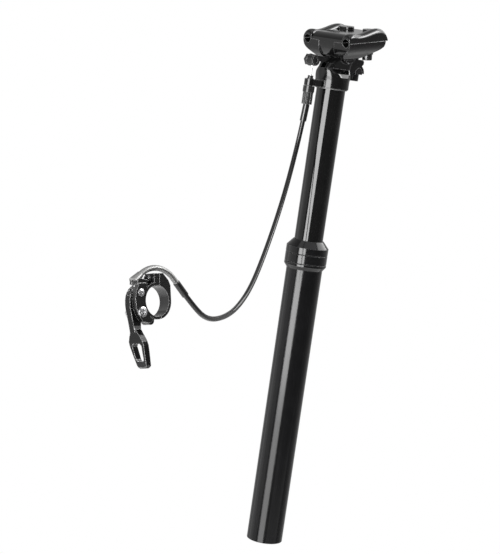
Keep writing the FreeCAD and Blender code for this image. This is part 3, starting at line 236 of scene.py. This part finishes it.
def finish(name, dark, light, roughness, edge, metallic=0.0, ior=1.33, scale=900.0, bump=0.02,
           radius=0.0003, wear_and_highlight=0.5):
    """A surface that drifts from dark to light, with grain, and edges lightened to their own colour:
    partly rubbed wear, partly a painted highlight along them.
    """
    gloss_share = 0.6
    relief_height = 0.0002
    material = bpy.data.materials.new(name)
    material.use_nodes = True
    tree = material.node_tree
    shader = tree.nodes["Principled BSDF"]
    shader.inputs["Metallic"].default_value = metallic
    shader.inputs["IOR"].default_value = ior
    tone = add_node(tree, "Group", {"Scale": scale, "Low": 0.0, "High": 1.0}, node_tree=surface_grain)
    gloss = add_node(tree, "Group", {
        "Scale": scale * gloss_share, "Low": roughness[0], "High": roughness[1],
    }, node_tree=surface_grain)
    edges = add_node(tree, "Group", {"Radius": radius, "Wear_and_highlight": wear_and_highlight}, node_tree=rubbed_and_highlit_edges)
    body = add_node(tree, "Mix", {"A": (*dark, 1.0), "B": (*light, 1.0)}, data_type="RGBA")
    # The edge colour is mixed in along the edges: partly rubbed wear, and partly a painted highlight
    # where the edges would catch the light.
    worn_and_highlit = add_node(tree, "Mix", {"B": (*edge, 1.0)}, data_type="RGBA")
    relief = add_node(tree, "Bump", {"Strength": bump, "Distance": relief_height})
    connect(tree, [
        (tone, "Level", body, "Factor"), (body, "Result", worn_and_highlit, "A"), (edges, "Mask", worn_and_highlit, "Factor"),
        (worn_and_highlit, "Result", shader, "Base Color"), (gloss, "Level", shader, "Roughness"),
        (tone, "Height", relief, "Height"), (edges, "Normal", relief, "Normal"),
        (relief, "Normal", shader, "Normal")])
    return material


def coat(material, *names):
    """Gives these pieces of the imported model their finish."""
    for name in names:
        nodes[name].data.materials.clear()
        nodes[name].data.materials.append(material)


sheath_black = finish("sheath_black", (0.0024, 0.0024, 0.0024), (0.0045, 0.0045, 0.0045),
                      (0.15, 0.24), (0.02, 0.02, 0.02), ior=1.34, scale=1400.0, bump=0.05,
                      radius=0.0002)
housing_curve = bpy.data.curves.new("cable_sheath", "CURVE")
housing_curve.dimensions = "3D"
housing_curve.bevel_depth = housing_diameter / 2
housing_curve.bevel_resolution = 7
housing_curve.resolution_u = 16
housing_curve.render_resolution_u = 16
housing_curve.use_fill_caps = True
housing_line = housing_curve.splines.new("NURBS")
housing_line.points.add(len(housing_route) - 1)
for point, place in zip(housing_line.points, housing_route):
    point.co = (*place, 1.0)
housing_line.order_u = 3
housing_line.use_endpoint_u = True
housing_curve.materials.append(sheath_black)
housing = bpy.data.objects.new("cable_sheath", housing_curve)
bpy.context.scene.collection.objects.link(housing)
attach(housing, "slider")
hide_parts("cable_housing")


# Ferrules of the housing. Two turned aluminium caps, black anodised, are pushed over the housing's
# ends, and their crimped mouths keep the casing's coils from spreading.
ferrule_black = finish("ferrule_black", (0.0024, 0.0024, 0.0024), (0.0050, 0.0050, 0.0050),
                       (0.15, 0.24), (0.09, 0.09, 0.09), ior=1.38, radius=0.0002)
coat(ferrule_black, "housing_ferrule", "noodle_ferrule")


# Outer tube. A drawn aluminium tube of 31.6 mm, honed inside and anodised gloss black, that is
# clamped in the seat tube. Its top is threaded for the seal collar.
post_black = finish("post_black", (0.0014, 0.0014, 0.0015), (0.0026, 0.0026, 0.0028), (0.12, 0.18),
                    (0.05, 0.05, 0.05), ior=1.30, scale=700.0, bump=0.010)
coat(post_black, "outer_tube")


# Foot of the post. A turned cap closes the outer tube's lower end, and a steel bolt through it holds
# the hollow ground rod of the cartridge, whose piston has one rubber ring.
clear_alloy = finish("clear_alloy", (0.50, 0.50, 0.51), (0.62, 0.62, 0.63), (0.28, 0.42),
                     (0.74, 0.74, 0.75), metallic=1.0, scale=1100.0, bump=0.04)
bright_steel = finish("bright_steel", (0.28, 0.28, 0.285), (0.40, 0.40, 0.405), (0.22, 0.34),
                      (0.50, 0.50, 0.50), metallic=1.0, scale=1300.0, bump=0.03, radius=0.0002)
seal_rubber = finish("seal_rubber", (0.010, 0.010, 0.010), (0.020, 0.020, 0.020), (0.55, 0.75),
                     (0.03, 0.03, 0.03), ior=1.45, scale=2200.0, bump=0.12)
coat(clear_alloy, "bottom_cap", "piston")
coat(bright_steel, "rod_bolt", "piston_rod")
coat(seal_rubber, "piston_ring")


# Top of the outer tube. A smooth aluminium collar is screwed over the tube and holds a rubber wiper
# above a polymer bushing that guides the stanchion.
collar_black = finish("collar_black", (0.0014, 0.0014, 0.0015), (0.0026, 0.0026, 0.0028),
                      (0.10, 0.16), (0.08, 0.08, 0.08), ior=1.32, scale=800.0, bump=0.012,
                      radius=0.0003, wear_and_highlight=0.7)
bushing_grey = finish("bushing_grey", (0.045, 0.045, 0.045), (0.070, 0.070, 0.070), (0.45, 0.60),
                      (0.10, 0.10, 0.10), ior=1.45, scale=1500.0, bump=0.06)
coat(collar_black, "seal_collar")
coat(bushing_grey, "upper_bushing")
coat(seal_rubber, "wiper_seal")


# Stanchion. A thin drawn tube of 25 mm, ground and hard anodised so that the wiper glides on it. A
# polymer bushing and three bronze keys at its lower end guide it in the outer tube.
stanchion_black = finish("stanchion_black", (0.0016, 0.0016, 0.0016), (0.0026, 0.0026, 0.0026),
                         (0.05, 0.08), (0.06, 0.06, 0.06), ior=1.33, scale=500.0, bump=0.004)
key_bronze = finish("key_bronze", (0.38, 0.24, 0.10), (0.50, 0.33, 0.15), (0.28, 0.42),
                    (0.66, 0.46, 0.24), metallic=1.0, scale=1200.0, bump=0.05, radius=0.0002)
coat(stanchion_black, "stanchion_tube")
coat(bushing_grey, "lower_guide")
coat(key_bronze, "guide_keys")


# Cartridge. The stanchion holds the oil in a thin tube between a gland for the rod and a valve body
# with a steel pin. A floating piston above it keeps the gas apart from the oil.
coat(clear_alloy, "rod_gland", "cartridge_tube", "valve_body", "floating_piston", "head_plug")
coat(bright_steel, "valve_pin")


# Trim ring. A narrow turned ring of grey anodised aluminium is slipped over the stanchion and closes
# the joint between it and the forged head.
ring_grey = finish("ring_grey", (0.04, 0.04, 0.04), (0.06, 0.06, 0.06), (0.30, 0.40),
                   (0.12, 0.12, 0.12), scale=900.0, bump=0.01, radius=0.0002)
coat(ring_grey, "trim_ring")


# Head. One aluminium forging, polished and anodised black: a neck bonded over the stanchion, a flat
# web, a barrel across its top for the clamps, a lug behind and a stop in front for the cable.
head_black = finish("head_black", (0.0012, 0.0012, 0.0012), (0.0024, 0.0024, 0.0024), (0.11, 0.17),
                    (0.09, 0.09, 0.09), ior=1.34, scale=1500.0, bump=0.025, radius=0.0006, wear_and_highlight=0.6)
coat(head_black, "head_forging")
coat(bright_steel, "cross_pin", "arm_pin")


# Saddle clamps. A forged lower clamp turns on the barrel and carries both rails, and a rounded cap
# for each rail is drawn down on it. All three are polished before they are anodised.
clamp_black = finish("clamp_black", (0.0012, 0.0012, 0.0012), (0.0024, 0.0024, 0.0024), (0.09, 0.14),
                     (0.11, 0.11, 0.11), ior=1.36, scale=1300.0, bump=0.015, radius=0.0006, wear_and_highlight=0.6)
coat(clamp_black, "lower_clamp", "rail_cap_left", "rail_cap_right")


# Clamp bolts. Two socket screws of 5 mm, put in from below, draw the caps down on the rails. They
# lean with the clamps, and their threads are rolled.
clamp_lean = math.radians(8.7)
clamp_pivot = Matrix.Translation((-0.005, 0.0, 0.436)) @ Matrix.Rotation(clamp_lean, 4, "Y")
clamp_bolt_x, clamp_bolt_y, clamp_bolt_z = -0.0215, 0.0116, -0.0026


def hexagon(width):
    """Corners of a socket for a key of this width."""
    r = width / math.sqrt(3)
    return [(r * math.cos(n * math.pi / 3), r * math.sin(n * math.pi / 3)) for n in range(6)]


def cut_screw(shape, place, head_r, head_h, shank_r, length, recess, depth, pitch=0.0008, plain=0.002,
              dome=0.0, thread_depth=0.00035):
    """Adds a screw with its head below its own origin, its shank above, and a recess in the head."""
    sides = 40
    same_place = 1e-6
    widest_rim = 0.0004
    screw = bmesh.new()
    rim = min(widest_rim, head_h / 3)
    line = [(head_r - rim - dome, -head_h), (head_r - rim - dome / 2, -head_h + dome / 8),
            (head_r - rim / 4, -head_h + rim / 3 + dome / 4), (head_r, -head_h + rim + dome / 2),
            (head_r, 0.0), (shank_r, 0.0), (shank_r, plain)]
    height = plain
    while height + pitch < length:
        line += [(shank_r - thread_depth, height + pitch / 2), (shank_r, height + pitch)]
        height += pitch
    line += [(shank_r - thread_depth, length), (0.0, length)]
    points = [screw.verts.new((r, 0.0, z)) for r, z in line]
    edges = [screw.edges.new(pair) for pair in zip(points, points[1:])]
    bmesh.ops.spin(screw, geom=points + edges, cent=(0, 0, 0), axis=(0, 0, 1), angle=2 * math.pi,
                   steps=sides, use_merge=True)
    bmesh.ops.remove_doubles(screw, verts=screw.verts, dist=same_place)
    rim_edges = [edge for edge in screw.edges if edge.is_boundary]
    outline = [screw.verts.new((x, y, -head_h)) for x, y in recess]
    inner = [screw.edges.new(pair) for pair in zip(outline, outline[1:] + outline[:1])]
    bmesh.ops.triangle_fill(screw, use_beauty=True, edges=rim_edges + inner, normal=(0, 0, -1))
    walls = bmesh.ops.extrude_edge_only(screw, edges=inner)["geom"]
    floor_points = [part for part in walls if isinstance(part, bmesh.types.BMVert)]
    wall_edges = [part for part in walls if isinstance(part, bmesh.types.BMEdge)]
    floor_edges = [edge for edge in wall_edges if edge.is_boundary]
    bmesh.ops.translate(screw, verts=floor_points, vec=(0, 0, depth))
    bmesh.ops.triangle_fill(screw, use_beauty=True, edges=floor_edges, normal=(0, 0, -1))
    bmesh.ops.recalc_face_normals(screw, faces=screw.faces)
    bmesh.ops.transform(screw, matrix=place, verts=screw.verts)
    made = bpy.data.meshes.new("screw")
    screw.to_mesh(made)
    screw.free()
    shape.from_mesh(made)
    bpy.data.meshes.remove(made)


def put_in(name, shape, material, body, replaced):
    """Makes a finished piece of a shape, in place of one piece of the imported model."""
    sharp_from = math.radians(32)
    mesh = bpy.data.meshes.new(name)
    shape.to_mesh(mesh)
    shape.free()
    mesh.shade_smooth()
    mesh.set_sharp_from_angle(angle=sharp_from)
    mesh.materials.append(material)
    piece = bpy.data.objects.new(name, mesh)
    bpy.context.scene.collection.objects.link(piece)
    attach(piece, body)
    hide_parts(replaced)


bolt_steel = finish("bolt_steel", (0.05, 0.05, 0.051), (0.09, 0.09, 0.091), (0.20, 0.30),
                    (0.30, 0.30, 0.30), metallic=1.0, scale=1400.0, bump=0.04, radius=0.0002,
                    wear_and_highlight=0.8)
clamp_bolt_shape = bmesh.new()
for side in (-1, 1):
    clamp_bolt_place = Matrix.Translation((clamp_bolt_x, side * clamp_bolt_y, clamp_bolt_z))
    cut_screw(clamp_bolt_shape, clamp_pivot @ clamp_bolt_place, head_r=0.00425, head_h=0.005,
              shank_r=0.0025, length=0.0214, recess=hexagon(0.004), depth=0.0028)
put_in("rail_cap_screws", clamp_bolt_shape, bolt_steel, "saddle_clamp", "clamp_bolts")


# Tilt bolt. A steel socket screw of 6 mm hangs in the lug on a half-round washer and pulls a barrel
# nut down. Its thread shows behind the head.
black_oxide = finish("black_oxide", (0.003, 0.003, 0.003), (0.006, 0.006, 0.006), (0.14, 0.22),
                     (0.20, 0.20, 0.20), ior=1.36, scale=1400.0, bump=0.04, radius=0.0003, wear_and_highlight=0.8)
coat(black_oxide, "tilt_washer", "tilt_nut")
tilt_bolt_place = Matrix.Translation((-0.0255, 0.0, 0.4183))
tilt_bolt_shape = bmesh.new()
cut_screw(tilt_bolt_shape, tilt_bolt_place, head_r=0.005, head_h=0.006, shank_r=0.003, length=0.0277,
          recess=hexagon(0.005), depth=0.0035, pitch=0.001, plain=0.005)
put_in("tilt_screw_threaded", tilt_bolt_shape, black_oxide, "tilt_screw", "tilt_bolt")


# Actuator arm. A black anodised arm in the head's slot presses the valve pin. The wire is pinched at
# its front end between a socket screw, a washer and a nut.
arm_black = finish("arm_black", (0.0020, 0.0020, 0.0020), (0.0040, 0.0040, 0.0040), (0.16, 0.26),
                   (0.10, 0.10, 0.10), ior=1.36, scale=1500.0, bump=0.05, radius=0.0003, wear_and_highlight=0.7)
wire_steel = finish("wire_steel", (0.42, 0.42, 0.42), (0.62, 0.62, 0.62), (0.25, 0.40),
                    (0.62, 0.62, 0.62), metallic=1.0, scale=2600.0, bump=0.15, radius=0.0001)
coat(arm_black, "actuator_arm")
coat(black_oxide, "anchor_bolt", "anchor_nut")
coat(wire_steel, "inner_wire")


# Barrel adjuster. A turned and fluted aluminium screw in the head's stop, anodised dark grey, that
# sets how tight the wire is.
adjuster_grey = finish("adjuster_grey", (0.006, 0.006, 0.006), (0.011, 0.011, 0.011), (0.18, 0.28),
                       (0.20, 0.20, 0.20), metallic=0.2, scale=1300.0, bump=0.04, radius=0.0002,
                       wear_and_highlight=0.7)
coat(adjuster_grey, "barrel_adjuster")


# Remote's clamp. Two halves of a 22.2 mm bar clamp, machined from aluminium and anodised black,
# hinge on a small pin below and are closed by one screw above. The front half carries the lever's
# plate.
remote_roll = math.radians(15.4)
remote_place = Matrix.Translation((0.2638, 0.0982, 0.2442)) @ Matrix.Rotation(remote_roll, 4, "X")
facing_back = Matrix.Rotation(-math.pi / 2, 4, "Y")
clamp_satin = finish("clamp_satin", (0.0016, 0.0016, 0.0016), (0.0034, 0.0034, 0.0034), (0.13, 0.20),
                     (0.20, 0.20, 0.20), ior=1.40, scale=1900.0, bump=0.05, radius=0.0005, wear_and_highlight=0.7)
coat(clamp_satin, "remote_bracket", "remote_strap")
coat(bright_steel, "hinge_pin")
bar_bolt_shape = bmesh.new()
bar_bolt_place = remote_place @ Matrix.Translation((0.002, 0.0, 0.016)) @ facing_back
cut_screw(bar_bolt_shape, bar_bolt_place, head_r=0.003, head_h=0.0034, shank_r=0.002, length=0.010,
          recess=hexagon(0.003), depth=0.002, pitch=0.0007)
put_in("bar_clamp_screw", bar_bolt_shape, bolt_steel, "slider", "bar_bolt")


# Noodle. A bent tube of satin stainless steel brings the wire over the bar to the lever. Its
# tapered foot sits in the bracket's seat.
noodle_steel = finish("noodle_steel", (0.12, 0.12, 0.118), (0.17, 0.17, 0.168), (0.34, 0.44),
                      (0.22, 0.22, 0.22), metallic=0.85, ior=1.45, scale=700.0, bump=0.01,
                      radius=0.0002)
coat(noodle_steel, "noodle")


# Screws of the lever's plate. A small domed screw holds the plate's stop, and the lever turns on a
# shoulder bolt with a cross recess and a nut behind.
def cross(reach, half):
    """Corners of a cross recess, with the length and half the width of its arms."""
    return [(reach, -half), (reach, half), (half, half), (half, reach), (-half, reach), (-half, half),
            (-reach, half), (-reach, -half), (-half, -half), (-half, -reach), (half, -reach),
            (half, -half)]


facing_left = Matrix.Rotation(math.pi / 2, 4, "X")
lever_bolt_shape = bmesh.new()
lever_bolt_place = remote_place @ Matrix.Translation((0.0152, 0.005, -0.0075)) @ facing_left
cut_screw(lever_bolt_shape, lever_bolt_place, head_r=0.0038, head_h=0.0018, shank_r=0.002,
          length=0.0133, recess=cross(0.0021, 0.00055), depth=0.0011, dome=0.0006)
put_in("lever_shoulder_bolt", lever_bolt_shape, bright_steel, "slider", "lever_bolt")
plate_screw_shape = bmesh.new()
plate_screw_place = remote_place @ Matrix.Translation((0.0154, 0.005, 0.0062)) @ facing_left
cut_screw(plate_screw_shape, plate_screw_place, head_r=0.0028, head_h=0.0012, shank_r=0.0015,
          length=0.004, recess=hexagon(0.0015), depth=0.0008, dome=0.0008, pitch=0.0005,
          thread_depth=0.0002)
put_in("plate_domed_screw", plate_screw_shape, bright_steel, "slider", "plate_screw")
coat(bright_steel, "lever_nut")


# Lever. A machined and anodised blade with a slotted thumb paddle. It turns on a bronze bush and
# pulls the wire by a blackened nipple above its pivot.
lever_black = finish("lever_black", (0.0012, 0.0012, 0.0012), (0.0026, 0.0026, 0.0026), (0.10, 0.16),
                     (0.24, 0.24, 0.24), ior=1.27, scale=1500.0, bump=0.02, radius=0.0006, wear_and_highlight=0.8)
coat(lever_black, "lever")
coat(key_bronze, "lever_bush")
coat(black_oxide, "wire_nipple")
